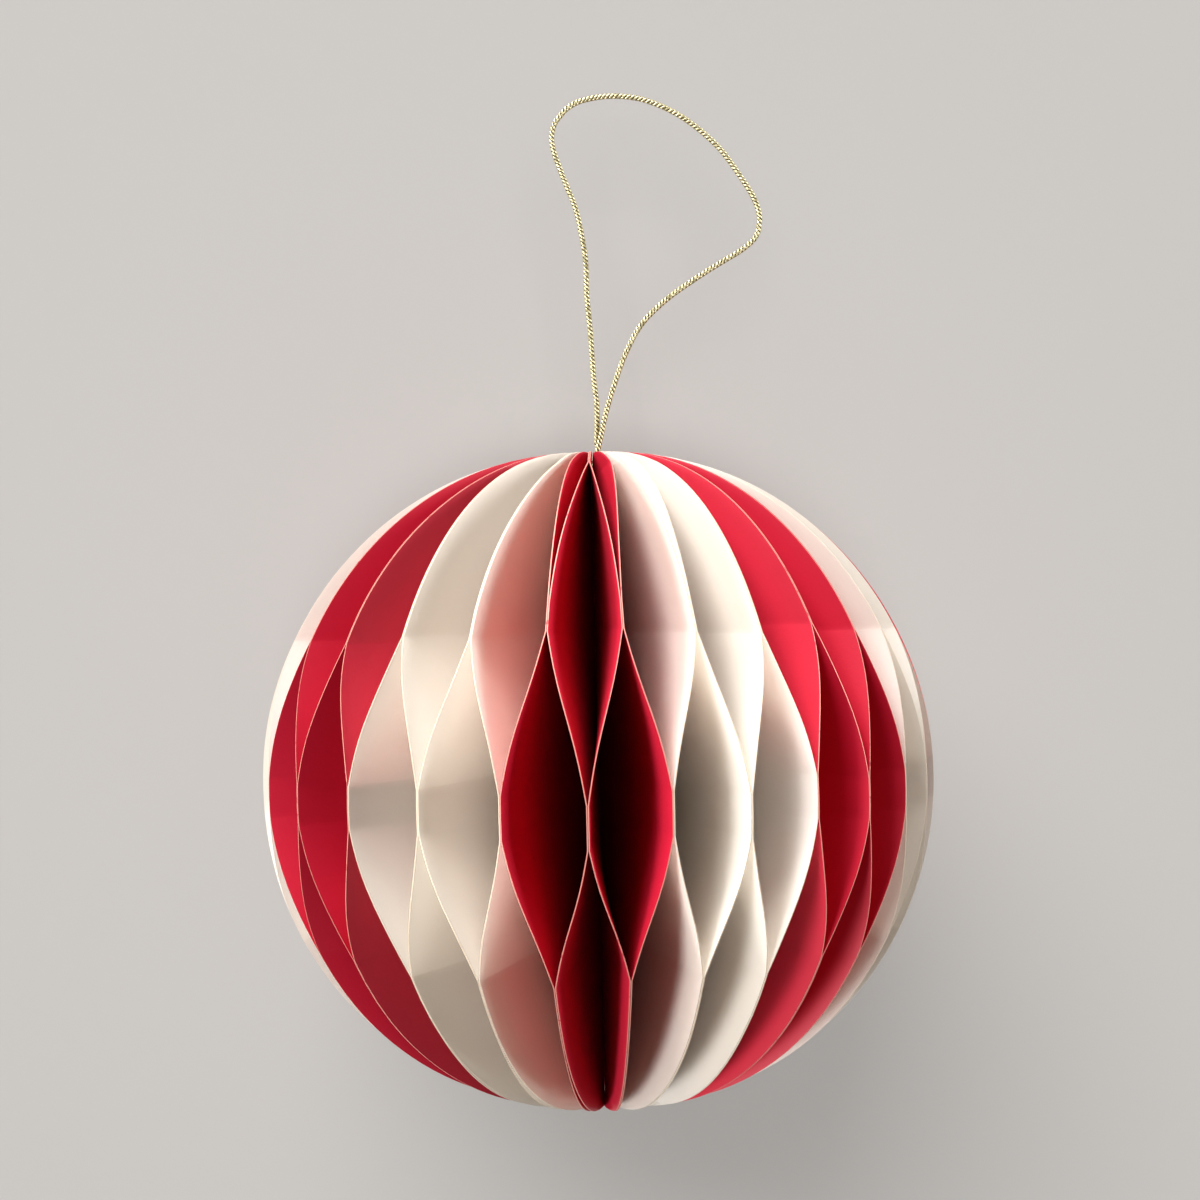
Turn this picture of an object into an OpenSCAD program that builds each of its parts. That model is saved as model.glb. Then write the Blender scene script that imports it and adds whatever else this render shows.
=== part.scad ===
// Paper bauble: card half discs stand round a spine like the leaves of an open book.
// Neighbouring leaves are glued together along strips at alternating heights,
// so their outer edges spread apart between the strips and form a honeycomb ball.
// A cord loop comes out of the hollow spine at the top pole.
// The origin is the hanging point inside the loop's crown, straight above the spine.

/* [Ball] */
// Diameter of the open ball at its equator
ball_d = 100; // [70:1:140]
// Height of the ball from pole to pole
ball_h = 97; // [70:0.5:140]
// Distance from the hanging point down to the top pole
pole_drop = 53.8; // [50:0.1:60]
// Number of leaves round the spine
leaf_count = 56; // [24:8:56]

/* [Card] */
// Thickness of the card
card_t = 0.18; // [0.15:0.01:0.35]
// Thickness of the glue film between two leaves
glue_t = 0.02; // [0.01:0.01:0.05]
// Width of a leaf's end at the poles
pole_land = 0.5; // [0.3:0.1:3]
// How far a leaf's inner edge stops short of the poles
spine_short = 0.8; // [0:0.1:3]

/* [Glue strips, as latitudes in degrees] */
// Latitude from which a leaf keeps its lean up to the top pole
top_reach = 70; // [60:1:76]
// Upper edge of the upper strip
upper_strip_high = 31; // [28:1:36]
// Lower edge of the upper strip
upper_strip_low = 26; // [18:1:27]
// Upper edge of the waist strip
waist_strip_high = 2.5; // [0:0.5:8]
// Lower edge of the waist strip
waist_strip_low = -4; // [-10:0.5:-2]
// Upper edge of the bottom strip
bottom_strip_high = -27; // [-34:0.5:-18]
// Lower edge of the bottom strip
bottom_strip_low = -40; // [-50:1:-36]
// Latitude from which a leaf keeps its lean down to the bottom pole
bottom_reach = -74; // [-80:1:-66]
// Latitude from which a dab of glue holds the leaves together at the bottom pole
bottom_dab = -84; // [-87:1:-81]
// How far hand gluing lets the strips wander up and down
strip_wander = 1; // [0:0.1:2]

/* [Fan, in degrees] */
// Turn of the front pair of leaves about the spine
fan_turn = -1.4; // [-6:0.1:6]
// How far the leaves of both sides are pushed towards the left
fan_lean = 7.4; // [0:0.1:10]
// How far the leaves of the front half are drawn together
fan_gather = 2.4; // [0:0.1:6]

/* [Hanging cord] */
// Diameter of the cord
cord_d = 0.9; // [0.6:0.1:1]

/* [Hidden] */
// Leaves of one colour that stand side by side, and where the first band begins
band_leaves = 4;
band_start = 2;
// Share by which a leaf bends softly between two strips
bend_soft = 0.25;
// Steps along a leaf: top end, gap, upper strip, gap, waist strip, gap, bottom strip, gap,
// gap before the dab, dab
leaf_steps = [2, 6, 1, 4, 1, 3, 2, 4, 2, 1];

// Hand gluing has moved each strip up or down by some degrees of latitude. These are the upper
// and bottom strips from the seventh glue plane left of the front to the seventh right of it,
// which are odd, and the waist strips from the sixth left to the eighth right, which are even.
upper_shifts = [-0.6, 0.5, 0, 1, 1.2, 0.4, 0, 1.3];
waist_shifts = [0.4, 0.4, -0.3, -1.8, 0, -1, 1, -0.2];
bottom_shifts = [0.8, -0.5, -0.2, -1, 0.2, 0, -0.6, 0.9];

// Near the poles the leaves lean as hand gluing and springy card left them. Each row holds
// the lean to the right of the leaf left of an odd glue plane and of the leaf right of it,
// in steps from one glue plane to the next. Two equal leans keep the pair together.
// The rows run from the seventh plane left of the front to the seventh right of it.
top_leans = [
    [0.65, 0.7],
    [-0.3, -0.3],
    [0.95, 0.95],
    [-0.2, 1.1],
    [-0.9, 0.7],
    [-0.6, 0.7],
    [0.4, 0.4],
    [0.2, 0.2]
];
bottom_leans = [
    [0.3, 0.3],
    [-1.2, -0.4],
    [-0.7, 0.2],
    [-0.1, 0.25],
    [0.1, 0.1],
    [-0.2, -0.2],
    [1.15, 1.15],
    [-0.1, 0.1]
];
// How far the two leaves of every other odd glue plane lean apart, each to its own side
small_lean = 0.05;

red = "#c4202b";
cream = "#f3ede0";
gold = "#c8aa52";

// Route of the cord from its left end in the spine, round the loop, to its right end.
// The two ends pass each other where they come out of the spine, the right one in front.
// x is to the right, y to the back and z up from the hanging point.
cord_route = [
    [0.8, 0.35, -63.3],
    [1.05, 0.5, -53.6],
    [0.9, 0.45, -52.1],
    [0.95, 0.3, -50.3],
    [1, 0, -46.3],
    [0.6, 0, -41.8],
    [0.3, 0, -35.3],
    [-0.15, 0, -29.3],
    [-0.2, 0, -24.3],
    [-0.8, 0, -19.85],
    [-1.65, 0, -15.9],
    [-3.5, 0, -10.95],
    [-4.9, 0, -6.45],
    [-4.7, 0, -3.6],
    [-3.6, 0, -1.85],
    [-2.1, 0, -0.45],
    [0.15, 0, 0.5],
    [4, 0, 1],
    [8.4, 0, 0.55],
    [12.7, 0, -1.1],
    [16.65, 0, -3.65],
    [20.55, 0, -7.3],
    [23.45, 0, -11.35],
    [25.65, 0, -15.05],
    [26.45, 0, -17.6],
    [26.4, 0, -19.25],
    [25.85, 0, -21.05],
    [23.75, 0, -22.95],
    [19.8, 0, -25.25],
    [15.75, 0, -27.75],
    [11.7, 0, -30.6],
    [8.1, 0, -34.1],
    [5.65, 0, -38.35],
    [3.7, 0, -43.35],
    [2.3, 0, -47.8],
    [1.65, -0.35, -50.7],
    [1.25, -0.5, -52.3],
    [0.85, -0.5, -53.8],
    [0.3, -0.5, -56.3],
    [-0.6, -0.3, -63.3]
];
// Rings of the tube for each stretch of the route, and sides of a ring
cord_rings = 2;
cord_sides = 8;

ball_r = ball_d / 2;
pole_z = ball_h / 2;
centre_z = -pole_drop - pole_z;

function two_digits(n) = n < 10 ? str("0", n) : str(n);
function leaf_name(i) = str("leaf_", two_digits(i));
function is_red(i) = floor((i - 1 + band_start) / band_leaves) % 2 == 0;

// Azimuth of a place among the glue planes, from the front (-Y) towards the right (+X).
// Glue plane j is at place j, and the places between two planes have fractions.
function place_azimuth(place) =
    let (even = place * 360 / leaf_count)
    fan_turn + even + fan_lean * (cos(even) - 1) - fan_gather * sin(even);

// A leaf lives between an odd and an even glue plane: its middle direction and half its wedge
function odd_plane(i) = i - (i + 1) % 2;
function even_plane(i) = i - i % 2;
function leaf_azimuth(i) = (place_azimuth(i - 1) + place_azimuth(i)) / 2;
function leaf_half_wedge(i) = (place_azimuth(i) - place_azimuth(i - 1)) / 2;

// The hollow spine is as wide as the stacked thickness of the leaves makes it
function spine_r(i) = (card_t + glue_t) / 2 / sin(leaf_half_wedge(i));

// Value of a glue plane in a list about the planes nearest the front
function by_plane(plane, list, elsewhere) =
    let (
        from_front = plane > leaf_count / 2 ? plane - leaf_count : plane,
        row = floor((from_front + len(list) - 1) / 2)
    )
    row >= 0 && row < len(list) ? list[row] : elsewhere;

// Lean of leaf i near a pole, away from its odd glue plane
function pole_lean(i, leans) =
    by_plane(odd_plane(i), leans, [-small_lean, small_lean])[(i + 1) % 2];

// Latitudes where the stretches of leaf i begin and end, from the top pole down
function stretch_edges(i) =
    let (
        upper = strip_wander * by_plane(odd_plane(i), upper_shifts, 0),
        waist = strip_wander * by_plane(even_plane(i), waist_shifts, 0),
        bottom = strip_wander * by_plane(odd_plane(i), bottom_shifts, 0)
    )
    [
        90,
        top_reach,
        upper_strip_high + upper,
        upper_strip_low + upper,
        waist_strip_high + waist,
        waist_strip_low + waist,
        bottom_strip_high + bottom,
        bottom_strip_low + bottom,
        bottom_reach,
        bottom_dab,
        -90
    ];

// Places of leaf i at those latitudes
function stretch_places(i) =
    let (
        odd = odd_plane(i),
        even = even_plane(i),
        top = odd + pole_lean(i, top_leans),
        bottom = odd + pole_lean(i, bottom_leans)
    )
    [top, top, odd, odd, even, even, odd, odd, bottom, even, even];

// Straight way from 0 to 1 with soft ends
function soft_step(t) = t - bend_soft * sin(360 * t) / (2 * PI);

// Share of its way that a leaf has crossed at a latitude in a gap: its outer edge crosses
// at an even rate, and the wedge is narrower near the poles
function crossed(latitude, from, to) =
    let (t = soft_step((from - latitude) / (from - to)))
    (1 - (cos(from) * (1 - t) - cos(to) * t) / cos(latitude)) / 2;

// Latitude and place of each row of leaf i, from the top pole down
function leaf_rows(i) =
    let (
        edges = stretch_edges(i),
        places = stretch_places(i)
    )
    [
        [edges[0], places[0]],
        for (k = [0:len(leaf_steps) - 1])
            for (step = [1:leaf_steps[k]])
                let (
                    latitude = edges[k] + (edges[k + 1] - edges[k]) * step / leaf_steps[k],
                    way = places[k + 1] - places[k],
                    share = way == 0 ? 0 : crossed(latitude, edges[k], edges[k + 1])
                )
                [latitude, places[k] + way * share]
    ];

function along(azimuth) = [sin(azimuth), -cos(azimuth), 0];
function across(azimuth) = [cos(azimuth), sin(azimuth), 0];

// Four corners of the cross-section of leaf i at a latitude, where it stands at a place
function leaf_row(i, latitude, place) =
    let (
        inner_r = spine_r(i),
        heading = place_azimuth(place),
        reach = pole_land + (ball_r - inner_r - pole_land) * cos(latitude),
        outer_z = pole_z * sin(latitude),
        inner_z = (pole_z - spine_short) * sin(latitude),
        inner = inner_r * along(leaf_azimuth(i)) + [0, 0, inner_z],
        outer = inner_r * along(leaf_azimuth(i)) + reach * along(heading) + [0, 0, outer_z],
        half = card_t / 2 * across(heading)
    )
    [inner - half, inner + half, outer + half, outer - half];

// Side faces of a stack of rings that have the same number of corners, first ring on top.
// Each four-cornered face is cut from the lower corner of the lower number: both faces of
// a leaf are then cut the same way, which keeps its thickness even where it twists.
function band_faces(rings, corners) = [
    for (k = [0:rings - 2])
        for (c = [0:corners - 1])
            let (
                upper = k * corners,
                lower = upper + corners,
                next = (c + 1) % corners
            )
            each next > c ? [
                [lower + c, lower + next, upper + next],
                [lower + c, upper + next, upper + c]
            ] : [
                [lower + c, lower + next, upper + c],
                [lower + next, upper + next, upper + c]
            ]
];

function ring_solid_faces(rings, corners) = concat(
    [[for (c = [0:corners - 1]) c]],
    band_faces(rings, corners),
    [[for (c = [corners - 1:-1:0]) (rings - 1) * corners + c]]
);

module ring_solid(rings) {
    polyhedron([for (ring = rings) each ring], ring_solid_faces(len(rings), len(rings[0])));
}

module leaf(i) {
    color(is_red(i) ? red : cream)
        translate([0, 0, centre_z])
            ring_solid([for (row = leaf_rows(i)) leaf_row(i, row[0], row[1])]);
}

// Point on the smooth curve through the cord's route, a share t past point k
function route_point(k, t) =
    let (
        last = len(cord_route) - 1,
        a = cord_route[max(k - 1, 0)],
        b = cord_route[k],
        c = cord_route[min(k + 1, last)],
        d = cord_route[min(k + 2, last)]
    )
    (2 * b + (c - a) * t + (2 * a - 5 * b + 4 * c - d) * t * t
        + (3 * b - a - 3 * c + d) * t * t * t) / 2;

cord_path = [
    for (k = [0:len(cord_route) - 2])
        for (step = [0:cord_rings - 1])
            route_point(k, step / cord_rings),
    cord_route[len(cord_route) - 1]
];

function unit(v) = v / norm(v);

// Direction of the cord at ring k
function cord_heading(k) =
    unit(cord_path[min(k + 1, len(cord_path) - 1)] - cord_path[max(k - 1, 0)]);

// The loop stands close to the front plane, so the depth axis is never along the cord
function cord_ring(k) =
    let (
        heading = cord_heading(k),
        side = unit(cross([0, 1, 0], heading)),
        depth = cross(heading, side)
    )
    [
        for (c = [0:cord_sides - 1])
            let (turn = 360 * c / cord_sides)
            cord_path[k] + cord_d / 2 * (cos(turn) * side + sin(turn) * depth)
    ];

module hanging_cord() {
    color(gold)
        ring_solid([for (k = [0:len(cord_path) - 1]) cord_ring(k)]);
}

for (i = [1:leaf_count])
    leaf(i);
hanging_cord();
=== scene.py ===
# Paper bauble: half discs of red and cream card with gilded edges stand round a hollow spine.
# They are glued together in strips at alternating heights and spread into a honeycomb ball.
# A twisted gold cord loop comes out of the spine at the top pole.

import math

import bpy
from mathutils import Matrix, Vector


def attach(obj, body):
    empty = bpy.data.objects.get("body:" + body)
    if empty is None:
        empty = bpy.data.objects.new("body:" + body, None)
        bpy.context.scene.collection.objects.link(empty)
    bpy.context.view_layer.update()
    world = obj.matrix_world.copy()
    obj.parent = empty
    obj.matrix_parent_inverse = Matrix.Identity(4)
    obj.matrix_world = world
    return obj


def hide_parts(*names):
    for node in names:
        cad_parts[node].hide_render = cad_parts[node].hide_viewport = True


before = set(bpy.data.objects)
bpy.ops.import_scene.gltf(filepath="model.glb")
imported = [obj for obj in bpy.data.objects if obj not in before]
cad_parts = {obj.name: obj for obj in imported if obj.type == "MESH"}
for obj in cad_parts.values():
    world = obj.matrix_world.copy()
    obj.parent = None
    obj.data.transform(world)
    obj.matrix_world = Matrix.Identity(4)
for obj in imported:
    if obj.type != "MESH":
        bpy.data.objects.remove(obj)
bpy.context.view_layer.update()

MM = 0.001
FULL_TURN = 2 * math.pi

# Ball
BALL_RADIUS = 50 * MM
POLE_HEIGHT = 48.5 * MM
BALL_CENTRE = Vector((0, 0, -102.3 * MM))
LEAF_COUNT = 56
BAND_LEAVES = 4
BAND_START = 2

# Card
CARD_THICKNESS = 0.18 * MM
GLUE_THICKNESS = 0.02 * MM
PRESSED_EDGE = 0.74
POLE_LAND = 0.5 * MM
SPINE_SHORT = 0.8 * MM
BEND_SOFT = 0.25

# Glue strips, as latitudes in degrees, and where a dab of glue begins at the bottom pole
UPPER_STRIP = (31, 26)
WAIST_STRIP = (2.5, -4)
BOTTOM_STRIP = (-27, -40)
BOTTOM_DAB = -84

# Hand gluing has moved each strip up or down by some degrees. These are the upper and bottom
# strips from the seventh glue plane left of the front to the seventh right of it, which are odd,
# and the waist strips from the sixth left to the eighth right, which are even.
UPPER_SHIFTS = [-0.6, 0.5, 0, 1, 1.2, 0.4, 0, 1.3]
WAIST_SHIFTS = [0.4, 0.4, -0.3, -1.8, 0, -1, 1, -0.2]
BOTTOM_SHIFTS = [0.8, -0.5, -0.2, -1, 0.2, 0, -0.6, 0.9]

# Lean near the poles of the leaf left of an odd glue plane and of the leaf right of it, towards
# the right and in steps from one glue plane to the next, from the seventh plane left of the
# front to the seventh right of it. A leaf reaches it at these latitudes.
TOP_REACH = 70
BOTTOM_REACH = -74
TOP_LEANS = [
    (0.65, 0.7), (-0.3, -0.3), (0.95, 0.95), (-0.2, 1.1),
    (-0.9, 0.7), (-0.6, 0.7), (0.4, 0.4), (0.2, 0.2),
]
BOTTOM_LEANS = [
    (0.3, 0.3), (-1.2, -0.4), (-0.7, 0.2), (-0.1, 0.25),
    (0.1, 0.1), (-0.2, -0.2), (1.15, 1.15), (-0.1, 0.1),
]
SMALL_LEAN = 0.05

# Fan, in degrees
FAN_TURN = -1.4
FAN_LEAN = 7.4
FAN_GATHER = 2.4

# Rows of a leaf in each stretch from pole to pole, closest at the creases, and shares of its
# width where columns stand
ROW_STEPS = [8, 26, 4, 16, 4, 14, 5, 22, 6, 3]
COLUMNS = [0, 0.15, 0.3, 0.45, 0.6, 0.75, 0.9, 0.992, 1]

# Cord, and its route in millimetres: x to the right, y to the back, z up from the hanging point
CORD_DIAMETER = 0.9 * MM
CORD_ROUTE = [
    (0.8, 0.35, -63.3), (1.05, 0.5, -53.6), (0.9, 0.45, -52.1), (0.95, 0.3, -50.3),
    (1, 0, -46.3), (0.6, 0, -41.8), (0.3, 0, -35.3), (-0.15, 0, -29.3), (-0.2, 0, -24.3),
    (-0.8, 0, -19.85), (-1.65, 0, -15.9), (-3.5, 0, -10.95), (-4.9, 0, -6.45),
    (-4.7, 0, -3.6), (-3.6, 0, -1.85), (-2.1, 0, -0.45), (0.15, 0, 0.5), (4, 0, 1),
    (8.4, 0, 0.55), (12.7, 0, -1.1), (16.65, 0, -3.65), (20.55, 0, -7.3),
    (23.45, 0, -11.35), (25.65, 0, -15.05), (26.45, 0, -17.6), (26.4, 0, -19.25),
    (25.85, 0, -21.05), (23.75, 0, -22.95), (19.8, 0, -25.25), (15.75, 0, -27.75),
    (11.7, 0, -30.6), (8.1, 0, -34.1), (5.65, 0, -38.35), (3.7, 0, -43.35), (2.3, 0, -47.8),
    (1.65, -0.35, -50.7), (1.25, -0.5, -52.3), (0.85, -0.5, -53.8), (0.3, -0.5, -56.3),
    (-0.6, -0.3, -63.3),
]
STRANDS = 3
STRAND_RADIUS = 0.21 * MM
FILAMENT_RIDGE = 0.9
LAY_RADIUS = CORD_DIAMETER / 2 - STRAND_RADIUS
TWIST_LENGTH = 1.9 * MM
RINGS_PER_TWIST = 14
STRAND_SIDES = 10
STEPS_PER_STRETCH = 12

# Camera, as steps from the ball's middle and tilts in radians
CAMERA_RIGHT = 0.28 * MM
CAMERA_BACK = 250 * MM
CAMERA_UP = 26.33 * MM
CAMERA_PITCH = -0.0131
CAMERA_ROLL = 0.0221
CAMERA_LENS = 49.32
SENSOR_WIDTH = 36

# Backdrop, a wall close behind the ball that curves into a floor below it, in metres
WALL_Y = 52 * MM
WALL_TOP = 1.5
FLOOR_Z = -380 * MM
FLOOR_FRONT = -2.5
SWEEP_BEND = 120 * MM
SWEEP_HALF_WIDTH = 2.5
SWEEP_STEPS = 16

# Lamps, with the way from the ball to each, its size in metres and its level
BALL_LAMP_DISTANCE = 0.9
BALL_LAMPS = [
    ("Key lamp", (-0.42, -0.61, 0.67), 0.3, 0.5),
    ("Top lamp", (-0.30, -0.17, 0.94), 0.5, 1.55),
    ("Left lamp", (-0.93, -0.25, 0.26), 0.5, 0.3),
    ("Right lamp", (0.93, -0.25, 0.26), 0.5, 1.1),
    ("Low lamp", (-0.66, -0.62, -0.42), 0.3, 0.84),
]
WALL_LAMP_DISTANCE = 3.0
WALL_LAMPS = [
    ("Wall lamp", (-0.27, -0.67, 0.69), 2.2, 0.62),
    ("Wall fill lamp", (0.0, -1.0, -0.05), 1.0, 0.52),
]
ROOM_LIGHT = 0.08


def sin_deg(degrees):
    return math.sin(math.radians(degrees))


def cos_deg(degrees):
    return math.cos(math.radians(degrees))


def add_piece(name, verts, faces, materials, face_material=None, sharp_above=40):
    """A mesh piece with smooth faces that keep their sharp edges."""
    mesh = bpy.data.meshes.new(name)
    mesh.from_pydata(verts, [], faces)
    for material in materials:
        mesh.materials.append(material)
    if face_material:
        mesh.polygons.foreach_set("material_index", face_material)
    mesh.shade_smooth()
    mesh.set_sharp_from_angle(angle=math.radians(sharp_above))
    mesh.validate()
    piece = bpy.data.objects.new(name, mesh)
    bpy.context.scene.collection.objects.link(piece)
    return piece


# Materials


def add_node(tree, kind, place, **settings):
    """A shader node at a place on the node sheet, with its own settings."""
    made = tree.nodes.new(kind)
    made.location = place
    for setting, value in settings.items():
        setattr(made, setting, value)
    return made


def start_group(name, inputs, outputs):
    """An empty node group with named sockets, given as (name, kind, starting value)."""
    tree = bpy.data.node_groups.new(name, "ShaderNodeTree")
    for title, kind, value in inputs:
        socket = tree.interface.new_socket(title, in_out="INPUT", socket_type=kind)
        socket.default_value = value
    for title, kind in outputs:
        tree.interface.new_socket(title, in_out="OUTPUT", socket_type=kind)
    entry = add_node(tree, "NodeGroupInput", (-900, 0))
    leave = add_node(tree, "NodeGroupOutput", (600, 0))
    return tree, entry.outputs, leave.inputs


def noise_on_object(tree, place, scale, detail, stretch=(1, 1, 1)):
    """Noise that lies fixed on the object, in grains per metre, stretched along an axis."""
    where = add_node(tree, "ShaderNodeTexCoord", (place[0] - 400, place[1]))
    turn = add_node(tree, "ShaderNodeMapping", (place[0] - 200, place[1]))
    turn.inputs["Scale"].default_value = stretch
    grain = add_node(tree, "ShaderNodeTexNoise", place)
    grain.inputs["Detail"].default_value = detail
    tree.links.new(where.outputs["Object"], turn.inputs["Vector"])
    tree.links.new(turn.outputs["Vector"], grain.inputs["Vector"])
    if isinstance(scale, (int, float)):
        grain.inputs["Scale"].default_value = scale
    else:
        tree.links.new(scale, grain.inputs["Scale"])
    return grain.outputs["Fac"]


def card_surface_group():
    """Uncoated card: a fine tooth, fibres that lie along the sheet, and faint cloudy dye."""
    tree, given, out = start_group(
        "Card surface",
        [
            ("Card Colour", "NodeSocketColor", (0.5, 0.5, 0.5, 1)),
            ("Cloud Colour", "NodeSocketColor", (0.4, 0.4, 0.4, 1)),
            ("Cloud Strength", "NodeSocketFloat", 0.5),
            ("Tooth Grains", "NodeSocketFloat", 3000),
        ],
        [
            ("Colour", "NodeSocketColor"),
            ("Tooth", "NodeSocketFloat"),
            ("Roughness", "NodeSocketFloat"),
        ],
    )
    links = tree.links
    cloud_grains = 140
    fibre_grains = 1100
    fibre_relief = 0.6
    clouds = noise_on_object(tree, (-500, 300), cloud_grains, 3)
    tooth = noise_on_object(tree, (-500, 0), given["Tooth Grains"], 3)
    fibres = noise_on_object(tree, (-500, -300), fibre_grains, 2, stretch=(1, 1, 0.16))

    share = add_node(tree, "ShaderNodeMath", (-250, 300), operation="MULTIPLY")
    links.new(clouds, share.inputs[0])
    links.new(given["Cloud Strength"], share.inputs[1])
    dyed = add_node(tree, "ShaderNodeMix", (0, 300), data_type="RGBA")
    links.new(share.outputs[0], dyed.inputs["Factor"])
    links.new(given["Card Colour"], dyed.inputs["A"])
    links.new(given["Cloud Colour"], dyed.inputs["B"])
    links.new(dyed.outputs["Result"], out["Colour"])

    height = add_node(tree, "ShaderNodeMath", (-250, -100), operation="MULTIPLY_ADD")
    links.new(fibres, height.inputs[0])
    height.inputs[1].default_value = fibre_relief
    links.new(tooth, height.inputs[2])
    links.new(height.outputs[0], out["Tooth"])

    rough = add_node(tree, "ShaderNodeMapRange", (0, -300))
    rough.inputs["To Min"].default_value = 0.46
    rough.inputs["To Max"].default_value = 0.6
    links.new(tooth, rough.inputs["Value"])
    links.new(rough.outputs["Result"], out["Roughness"])
    return tree


def foil_group():
    """Gold foil: tiny breaks where what lies under it shows, and a fine hammered grain."""
    tree, given, out = start_group(
        "Foil",
        [
            ("Foil Colour", "NodeSocketColor", (0.8, 0.6, 0.4, 1)),
            ("Bare Colour", "NodeSocketColor", (0.4, 0.3, 0.2, 1)),
            ("Break Grains", "NodeSocketFloat", 900),
            ("Break Level", "NodeSocketFloat", 0.62),
            ("Foil Metal", "NodeSocketFloat", 1),
        ],
        [
            ("Colour", "NodeSocketColor"),
            ("Metal", "NodeSocketFloat"),
            ("Grain", "NodeSocketFloat"),
        ],
    )
    links = tree.links
    hammered_grains = 4200
    soft_edge = 0.03
    breaks = noise_on_object(tree, (-500, 200), given["Break Grains"], 2)
    grain = noise_on_object(tree, (-500, -200), hammered_grains, 2)

    past = add_node(tree, "ShaderNodeMath", (-250, 200), operation="SUBTRACT")
    links.new(given["Break Level"], past.inputs[0])
    links.new(breaks, past.inputs[1])
    mask = add_node(tree, "ShaderNodeMapRange", (-50, 200))
    mask.inputs["From Min"].default_value = -soft_edge
    mask.inputs["From Max"].default_value = soft_edge
    links.new(past.outputs[0], mask.inputs["Value"])
    colour = add_node(tree, "ShaderNodeMix", (200, 200), data_type="RGBA")
    links.new(mask.outputs["Result"], colour.inputs["Factor"])
    links.new(given["Bare Colour"], colour.inputs["A"])
    links.new(given["Foil Colour"], colour.inputs["B"])
    links.new(colour.outputs["Result"], out["Colour"])
    metal = add_node(tree, "ShaderNodeMath", (200, 0), operation="MULTIPLY")
    links.new(mask.outputs["Result"], metal.inputs[0])
    links.new(given["Foil Metal"], metal.inputs[1])
    links.new(metal.outputs[0], out["Metal"])
    links.new(grain, out["Grain"])
    return tree


def start_material(name):
    """A material with its shader, and the sheet's nodes and links to build on."""
    material = bpy.data.materials.new(name)
    material.use_nodes = True
    return material, material.node_tree, material.node_tree.nodes["Principled BSDF"]


def place_group(tree, group, **values):
    """One use of a node group in a material, with that material's own values."""
    used = add_node(tree, "ShaderNodeGroup", (-600, 0), node_tree=group)
    for title, value in values.items():
        used.inputs[title.replace("_", " ")].default_value = value
    return used


def raise_surface(tree, shader, height, distance, strength):
    """Small relief on a surface, as deep as distance where strength is 1."""
    bump = add_node(tree, "ShaderNodeBump", (-250, -250))
    bump.inputs["Distance"].default_value = distance
    bump.inputs["Strength"].default_value = strength
    tree.links.new(height, bump.inputs["Height"])
    tree.links.new(bump.outputs["Normal"], shader.inputs["Normal"])


def card_material(name, surface, card, cloud, strength):
    """Matt dyed card."""
    material, tree, shader = start_material(name)
    used = place_group(
        tree, surface, Card_Colour=card, Cloud_Colour=cloud, Cloud_Strength=strength
    )
    shader.inputs["Specular IOR Level"].default_value = 0.45
    tree.links.new(used.outputs["Colour"], shader.inputs["Base Color"])
    tree.links.new(used.outputs["Roughness"], shader.inputs["Roughness"])
    raise_surface(tree, shader, used.outputs["Tooth"], distance=0.03 * MM, strength=0.5)
    return material


def let_light_through(material, share, colour):
    """Let some light glow through a material's card, in the colour that the card gives it."""
    tree = material.node_tree
    glow = add_node(tree, "ShaderNodeBsdfTranslucent", (0, -400))
    glow.inputs["Color"].default_value = colour
    mix = add_node(tree, "ShaderNodeMixShader", (300, 0))
    mix.inputs["Fac"].default_value = share
    tree.links.new(tree.nodes["Principled BSDF"].outputs["BSDF"], mix.inputs[1])
    tree.links.new(glow.outputs["BSDF"], mix.inputs[2])
    tree.links.new(mix.outputs["Shader"], tree.nodes["Material Output"].inputs["Surface"])


def foil_sheet(name, foil, bright, bare, grains, level, metal, roughness):
    """A material with thin metal foil over card or thread, and its colour before it is joined."""
    material, tree, shader = start_material(name)
    used = place_group(
        tree,
        foil,
        Foil_Colour=bright,
        Bare_Colour=bare,
        Break_Grains=grains,
        Break_Level=level,
        Foil_Metal=metal,
    )
    shader.inputs["Roughness"].default_value = roughness
    tree.links.new(used.outputs["Metal"], shader.inputs["Metallic"])
    raise_surface(tree, shader, used.outputs["Grain"], distance=0.02 * MM, strength=0.4)
    return material, tree, shader, used.outputs["Colour"]


def gilt_material(name, foil, bright, bare):
    """Satin gilding along a cut card edge."""
    material, tree, shader, colour = foil_sheet(
        name, foil, bright, bare, grains=900, level=0.66, metal=0.3, roughness=0.55
    )
    tree.links.new(colour, shader.inputs["Base Color"])
    return material


def thread_material(name, foil, bright, bare, painted_groove_shade):
    """Bright foil thread, with painted shade darkening the grooves between its strands."""
    material, tree, shader, colour = foil_sheet(
        name, foil, bright, bare, grains=1600, level=0.6, metal=0.75, roughness=0.3
    )
    # Painted shade: toward the grooves between the strands the colour goes over to a dark one, by how
    # far out of the cord's middle each point stands.
    groove_rise = 0.74
    crown_rise = 0.97
    rise = add_node(tree, "ShaderNodeAttribute", (-600, 400), attribute_name="rise")
    shade_fade = add_node(tree, "ShaderNodeMapRange", (-400, 400))
    shade_fade.inputs["From Min"].default_value = groove_rise
    shade_fade.inputs["From Max"].default_value = crown_rise
    mix = add_node(tree, "ShaderNodeMix", (-200, 300), data_type="RGBA")
    mix.inputs["A"].default_value = painted_groove_shade
    tree.links.new(rise.outputs["Fac"], shade_fade.inputs["Value"])
    tree.links.new(shade_fade.outputs["Result"], mix.inputs["Factor"])
    tree.links.new(colour, mix.inputs["B"])
    tree.links.new(mix.outputs["Result"], shader.inputs["Base Color"])
    return material


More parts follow.
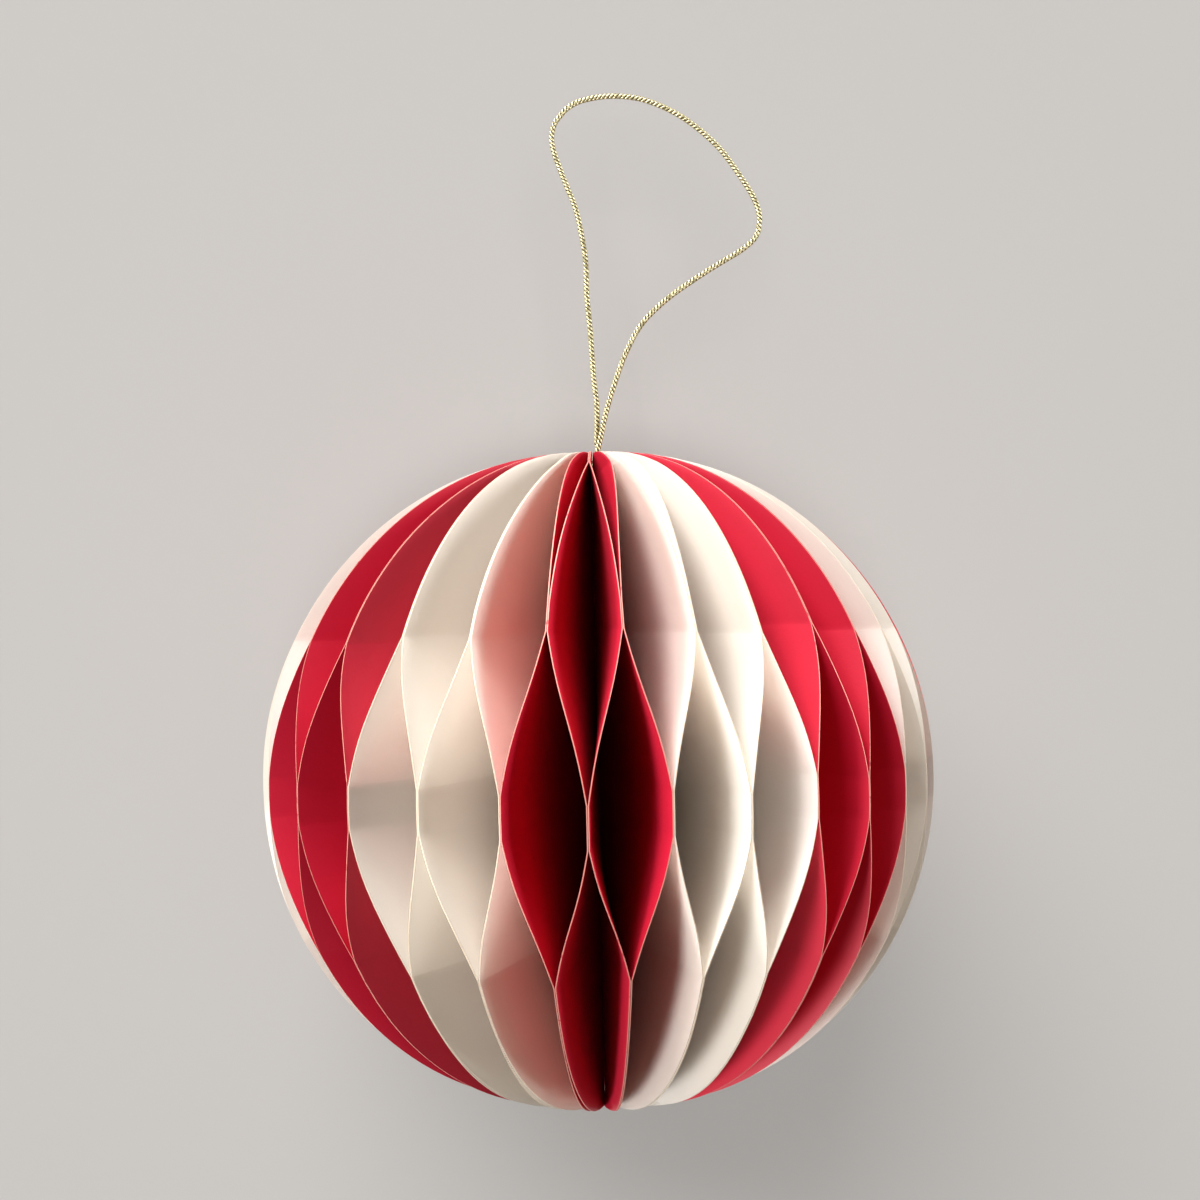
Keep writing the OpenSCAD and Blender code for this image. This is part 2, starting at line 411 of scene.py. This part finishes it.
card_surface = card_surface_group()
foil = foil_group()
red_card = card_material(
    "Red card", card_surface, (0.60, 0.008, 0.036, 1), (0.54, 0.007, 0.032, 1), 0.5
)
cream_card = card_material(
    "Cream card", card_surface, (0.95, 0.93, 0.89, 1), (0.935, 0.91, 0.865, 1), 0.5
)
let_light_through(cream_card, 0.45, (0.99, 0.94, 0.87, 1))
gilt_on_red = gilt_material(
    "Gilt edge of red card", foil, (0.70, 0.29, 0.23, 1), (0.48, 0.10, 0.09, 1)
)
gilt_on_cream = gilt_material(
    "Gilt edge of cream card", foil, (0.70, 0.58, 0.44, 1), (0.74, 0.66, 0.54, 1)
)
# The last colour is painted shade for the grooves between the strands.
gold_thread = thread_material(
    "Gold thread", foil, (0.66, 0.59, 0.35, 1), (0.36, 0.31, 0.14, 1), (0.06, 0.05, 0.018, 1)
)

# Camera


def set_camera():
    """The camera stands a quarter of a metre in front, a little above the ball's middle."""
    tilt_cos, tilt_sin = math.cos(CAMERA_PITCH), math.sin(CAMERA_PITCH)
    roll_cos, roll_sin = math.cos(CAMERA_ROLL), math.sin(CAMERA_ROLL)
    right = Vector((roll_cos, -tilt_sin * roll_sin, -tilt_cos * roll_sin))
    ahead = Vector((0, tilt_cos, -tilt_sin))
    up = right.cross(ahead)
    place = BALL_CENTRE + CAMERA_RIGHT * right - CAMERA_BACK * ahead + CAMERA_UP * up
    heading = Matrix((right, up, -ahead)).transposed().to_4x4()
    lens = bpy.data.cameras.new("camera")
    lens.sensor_width = SENSOR_WIDTH
    lens.lens = CAMERA_LENS
    lens.clip_start = 0.01
    camera = bpy.data.objects.new("camera", lens)
    camera.matrix_world = Matrix.Translation(place) @ heading
    bpy.context.scene.collection.objects.link(camera)
    bpy.context.scene.camera = camera


set_camera()
bpy.context.scene.view_settings.view_transform = "Standard"

# Cord


def route_curve():
    """The cord's centreline: a smooth curve through the route, in short steps."""
    route = [Vector(point) * MM for point in CORD_ROUTE]
    last = len(route) - 1

    def between(k, t):
        a, b = route[max(k - 1, 0)], route[k]
        c, d = route[min(k + 1, last)], route[min(k + 2, last)]
        return (
            2 * b
            + (c - a) * t
            + (2 * a - 5 * b + 4 * c - d) * t**2
            + (3 * b - a - 3 * c + d) * t**3
        ) / 2

    steps = STEPS_PER_STRETCH
    line = [between(k, n / steps) for k in range(last) for n in range(steps)]
    return line + [route[-1]]


def walk_evenly(line, stride):
    """Points a stride apart along a line, from its first point to its last."""
    lengths = [(b - a).length for a, b in zip(line, line[1:])]
    whole = sum(lengths)
    count = round(whole / stride)
    points = []
    k, passed = 0, 0.0
    for n in range(count + 1):
        goal = whole * n / count
        while k < len(lengths) - 1 and passed + lengths[k] < goal:
            passed += lengths[k]
            k += 1
        points.append(line[k].lerp(line[k + 1], min((goal - passed) / lengths[k], 1)))
    return points, whole


def headings(points):
    """Direction of a line of points at each of them."""
    last = len(points) - 1
    return [
        (points[min(k + 1, last)] - points[max(k - 1, 0)]).normalized() for k in range(last + 1)
    ]


def strand_tube(centres, outwards, ring_start):
    """One strand: ridged rings of fine filaments round a line of centres, closed at both ends.

    The third result says how far out of the cord's middle each point stands, from 0 to 1, which the
    thread's painted groove shade follows.
    """
    verts = []
    faces = []
    rises = []
    for centre, out, along in zip(centres, outwards, headings(centres)):
        side = along.cross(out).normalized()
        out = side.cross(along)
        for c in range(STRAND_SIDES):
            turn = FULL_TURN * c / STRAND_SIDES
            ridge = STRAND_RADIUS * (1 if c % 2 else FILAMENT_RIDGE)
            verts.append(centre + ridge * (math.cos(turn) * out + math.sin(turn) * side))
            across = LAY_RADIUS + ridge * math.cos(turn)
            rises.append(math.hypot(across, ridge * math.sin(turn)) / (CORD_DIAMETER / 2))
    for k in range(len(centres) - 1):
        low = ring_start + k * STRAND_SIDES
        for c in range(STRAND_SIDES):
            n = (c + 1) % STRAND_SIDES
            faces.append((low + c, low + n, low + STRAND_SIDES + n, low + STRAND_SIDES + c))
    end = ring_start + (len(centres) - 1) * STRAND_SIDES
    faces.append([ring_start + c for c in reversed(range(STRAND_SIDES))])
    faces.append([end + c for c in range(STRAND_SIDES)])
    return verts, faces, rises


def gold_cord():
    """Three strands of gold thread laid round each other, in one loop with both ends inside."""
    line, whole = walk_evenly(route_curve(), TWIST_LENGTH / RINGS_PER_TWIST)
    verts = []
    faces = []
    rises = []
    for strand in range(STRANDS):
        centres = []
        outwards = []
        for k, (point, along) in enumerate(zip(line, headings(line))):
            side = Vector((0, 1, 0)).cross(along).normalized()
            depth = along.cross(side)
            turn = -FULL_TURN * (k / RINGS_PER_TWIST + strand / STRANDS)
            out = math.cos(turn) * side + math.sin(turn) * depth
            centres.append(point + LAY_RADIUS * out)
            outwards.append(out)
        tube_verts, tube_faces, tube_rises = strand_tube(centres, outwards, len(verts))
        verts += tube_verts
        faces += tube_faces
        rises += tube_rises
    cord = add_piece("gold_cord", verts, faces, [gold_thread], sharp_above=80)
    # How far out each point stands, read by the thread's painted groove shade.
    cord.data.attributes.new("rise", "FLOAT", "POINT").data.foreach_set("value", rises)
    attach(cord, "root")
    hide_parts("hanging_cord")
    return cord


own_pieces = [gold_cord()]

# Leaves


def place_azimuth(place):
    """Azimuth in degrees of a place counted in glue planes, from the front (-Y) to the right (+X)."""
    even = place * 360 / LEAF_COUNT
    return FAN_TURN + even + FAN_LEAN * (cos_deg(even) - 1) - FAN_GATHER * sin_deg(even)


def soft_step(t):
    """Straight way from 0 to 1 with soft ends."""
    return t - BEND_SOFT * math.sin(FULL_TURN * t) / FULL_TURN


def crossed(latitude, start, end):
    """Share of its way that a leaf has crossed at a latitude between two strips."""
    t = soft_step((start - latitude) / (start - end))
    return (1 - (cos_deg(start) * (1 - t) - cos_deg(end) * t) / cos_deg(latitude)) / 2


def by_plane(plane, values, elsewhere):
    """Value of a glue plane in a list about the planes nearest the front."""
    from_front = plane - LEAF_COUNT if plane > LEAF_COUNT / 2 else plane
    row = (from_front + len(values) - 1) // 2
    return values[row] if 0 <= row < len(values) else elsewhere


def along_azimuth(azimuth):
    return Vector((sin_deg(azimuth), -cos_deg(azimuth), 0))


def across_azimuth(azimuth):
    return Vector((cos_deg(azimuth), sin_deg(azimuth), 0))


class Leaf:
    """One half disc of card, which lives between an odd and an even glue plane."""

    def __init__(self, number):
        before, after = place_azimuth(number - 1), place_azimuth(number)
        self.azimuth = (before + after) / 2
        self.spine_radius = (CARD_THICKNESS + GLUE_THICKNESS) / 2 / sin_deg((after - before) / 2)
        self.is_red = (number - 1 + BAND_START) // BAND_LEAVES % 2 == 0
        even = number - number % 2
        odd = number - (number + 1) % 2
        side = (number + 1) % 2
        top = odd + by_plane(odd, TOP_LEANS, (-SMALL_LEAN, SMALL_LEAN))[side]
        bottom = odd + by_plane(odd, BOTTOM_LEANS, (-SMALL_LEAN, SMALL_LEAN))[side]
        self.edges = [90, TOP_REACH]
        self.edges += [edge + by_plane(odd, UPPER_SHIFTS, 0) for edge in UPPER_STRIP]
        self.edges += [edge + by_plane(even, WAIST_SHIFTS, 0) for edge in WAIST_STRIP]
        self.edges += [edge + by_plane(odd, BOTTOM_SHIFTS, 0) for edge in BOTTOM_STRIP]
        self.edges += [BOTTOM_REACH, BOTTOM_DAB, -90]
        self.places = [top, top, odd, odd, even, even, odd, odd, bottom, even, even]

    def rows(self):
        """Rings of points round the leaf, from the top pole down."""
        rows = [self.row(self.edges[0], self.places[0])]
        for k, steps in enumerate(ROW_STEPS):
            start, end = self.edges[k], self.edges[k + 1]
            way = self.places[k + 1] - self.places[k]
            for n in range(1, steps + 1):
                latitude = start + (end - start) * (1 - math.cos(math.pi * n / steps)) / 2
                share = crossed(latitude, start, end) if way else 0
                rows.append(self.row(latitude, self.places[k] + way * share))
        return rows

    def row(self, latitude, place):
        """Ring of points at a latitude: out along one face of the leaf, back along the other."""
        heading = place_azimuth(place)
        spine = BALL_CENTRE + self.spine_radius * along_azimuth(self.azimuth)
        reach = POLE_LAND + (BALL_RADIUS - self.spine_radius - POLE_LAND) * cos_deg(latitude)
        rise = Vector((0, 0, sin_deg(latitude)))
        inner = spine + (POLE_HEIGHT - SPINE_SHORT) * rise
        outer = spine + POLE_HEIGHT * rise + reach * along_azimuth(heading)
        half = CARD_THICKNESS / 2 * across_azimuth(heading)
        line = [(inner.lerp(outer, share), half) for share in COLUMNS[:-1]]
        line.append((outer, PRESSED_EDGE * half))
        return [p - h for p, h in line] + [p + h for p, h in reversed(line)]


def card_leaf(number):
    """One leaf of card, with its gilded cut edge as a second material."""
    leaf = Leaf(number)
    rows = leaf.rows()
    corners = len(rows[0])
    columns = len(COLUMNS)
    edge_corner = columns - 1
    verts = [point for row in rows for point in row]
    faces = []
    face_material = []
    for k in range(len(rows) - 1):
        for c in range(corners):
            n = (c + 1) % corners
            top, low = k * corners, (k + 1) * corners
            faces.append((top + c, low + c, low + n, top + n))
            face_material.append(1 if c == edge_corner else 0)
    for first, is_top in ((0, True), ((len(rows) - 1) * corners, False)):
        for c in range(columns - 1):
            strip = (first + c, first + c + 1, first + corners - 2 - c, first + corners - 1 - c)
            faces.append(strip if is_top else strip[::-1])
            face_material.append(1)
    name = f"card_leaf_{number:02d}"
    card, gilt = (red_card, gilt_on_red) if leaf.is_red else (cream_card, gilt_on_cream)
    piece = add_piece(name, verts, faces, [card, gilt], face_material)
    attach(piece, "root")
    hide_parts(f"leaf_{number:02d}")
    return piece


own_pieces += [card_leaf(number) for number in range(1, LEAF_COUNT + 1)]

# Backdrop and light


def backdrop_material():
    """Warm pale grey paper, seen from its front only."""
    material, tree, shader = start_material("Backdrop paper")
    shader.inputs["Base Color"].default_value = (0.65, 0.63, 0.605, 1)
    shader.inputs["Roughness"].default_value = 0.9
    shader.inputs["Specular IOR Level"].default_value = 0
    side = add_node(tree, "ShaderNodeNewGeometry", (0, 300))
    clear = add_node(tree, "ShaderNodeBsdfTransparent", (0, 100))
    mix = add_node(tree, "ShaderNodeMixShader", (300, 200))
    out = tree.nodes["Material Output"]
    tree.links.new(side.outputs["Backfacing"], mix.inputs["Fac"])
    tree.links.new(shader.outputs["BSDF"], mix.inputs[1])
    tree.links.new(clear.outputs["BSDF"], mix.inputs[2])
    tree.links.new(mix.outputs["Shader"], out.inputs["Surface"])
    return material


def backdrop():
    """A pale sweep of wall and floor, which takes the ball's shadow and gives it no light back."""
    profile = [(WALL_Y, WALL_TOP)]
    for k in range(SWEEP_STEPS + 1):
        turn = math.pi / 2 * k / SWEEP_STEPS
        y = WALL_Y - SWEEP_BEND * (1 - math.cos(turn))
        z = FLOOR_Z + SWEEP_BEND * (1 - math.sin(turn))
        profile.append((y, z))
    profile.append((FLOOR_FRONT, FLOOR_Z))
    verts = []
    for y, z in profile:
        verts += [(-SWEEP_HALF_WIDTH, y, z), (SWEEP_HALF_WIDTH, y, z)]
    faces = [(2 * k, 2 * k + 2, 2 * k + 3, 2 * k + 1) for k in range(len(profile) - 1)]
    sweep = add_piece("backdrop", verts, faces, [backdrop_material()])
    sweep.visible_diffuse = False
    sweep.visible_glossy = False
    sweep.visible_shadow = False
    return sweep


def soft_lamp(name, towards, distance, size, level, lit):
    """A square soft lamp that shines on the lit pieces; level 1 lights a facing surface fully."""
    lamp = bpy.data.lights.new(name, "AREA")
    lamp.shape = "SQUARE"
    lamp.size = size
    lamp.energy = level * (math.pi * distance) ** 2
    towards = Vector(towards).normalized()
    holder = bpy.data.objects.new(name, lamp)
    holder.location = BALL_CENTRE + distance * towards
    holder.rotation_mode = "QUATERNION"
    holder.rotation_quaternion = towards.to_track_quat("Z", "Y")
    bpy.context.scene.collection.objects.link(holder)
    holder.light_linking.receiver_collection = lit


def lit_pieces(name, pieces):
    """A group of pieces that share their lamps."""
    group = bpy.data.collections.new(name)
    for piece in pieces:
        group.objects.link(piece)
    return group


def room_light():
    """Even light from the room, which looks pale grey to the camera and in reflections."""
    world = bpy.data.worlds.new("Room")
    bpy.context.scene.world = world
    world.use_nodes = True
    tree = world.node_tree
    light = tree.nodes["Background"]
    light.inputs["Color"].default_value = (1, 0.98, 0.96, 1)
    light.inputs["Strength"].default_value = ROOM_LIGHT
    seen = add_node(tree, "ShaderNodeBackground", (0, -200))
    seen.inputs["Color"].default_value = (0.67, 0.635, 0.60, 1)
    path = add_node(tree, "ShaderNodeLightPath", (-400, 300))
    either = add_node(tree, "ShaderNodeMath", (-200, 300), operation="MAXIMUM")
    any_of = add_node(tree, "ShaderNodeMath", (0, 300), operation="MAXIMUM")
    mix = add_node(tree, "ShaderNodeMixShader", (300, 0))
    tree.links.new(path.outputs["Is Camera Ray"], either.inputs[0])
    tree.links.new(path.outputs["Is Glossy Ray"], either.inputs[1])
    tree.links.new(either.outputs[0], any_of.inputs[0])
    tree.links.new(path.outputs["Is Transmission Ray"], any_of.inputs[1])
    tree.links.new(any_of.outputs[0], mix.inputs["Fac"])
    tree.links.new(light.outputs["Background"], mix.inputs[1])
    tree.links.new(seen.outputs["Background"], mix.inputs[2])
    tree.links.new(mix.outputs["Shader"], tree.nodes["World Output"].inputs["Surface"])


ball = lit_pieces("Ball and cord", own_pieces)
wall = lit_pieces("Wall", [backdrop()])
for name, towards, size, level in BALL_LAMPS:
    soft_lamp(name, towards, BALL_LAMP_DISTANCE, size, level, ball)
for name, towards, size, level in WALL_LAMPS:
    soft_lamp(name, towards, WALL_LAMP_DISTANCE, size, level, wall)
room_light()
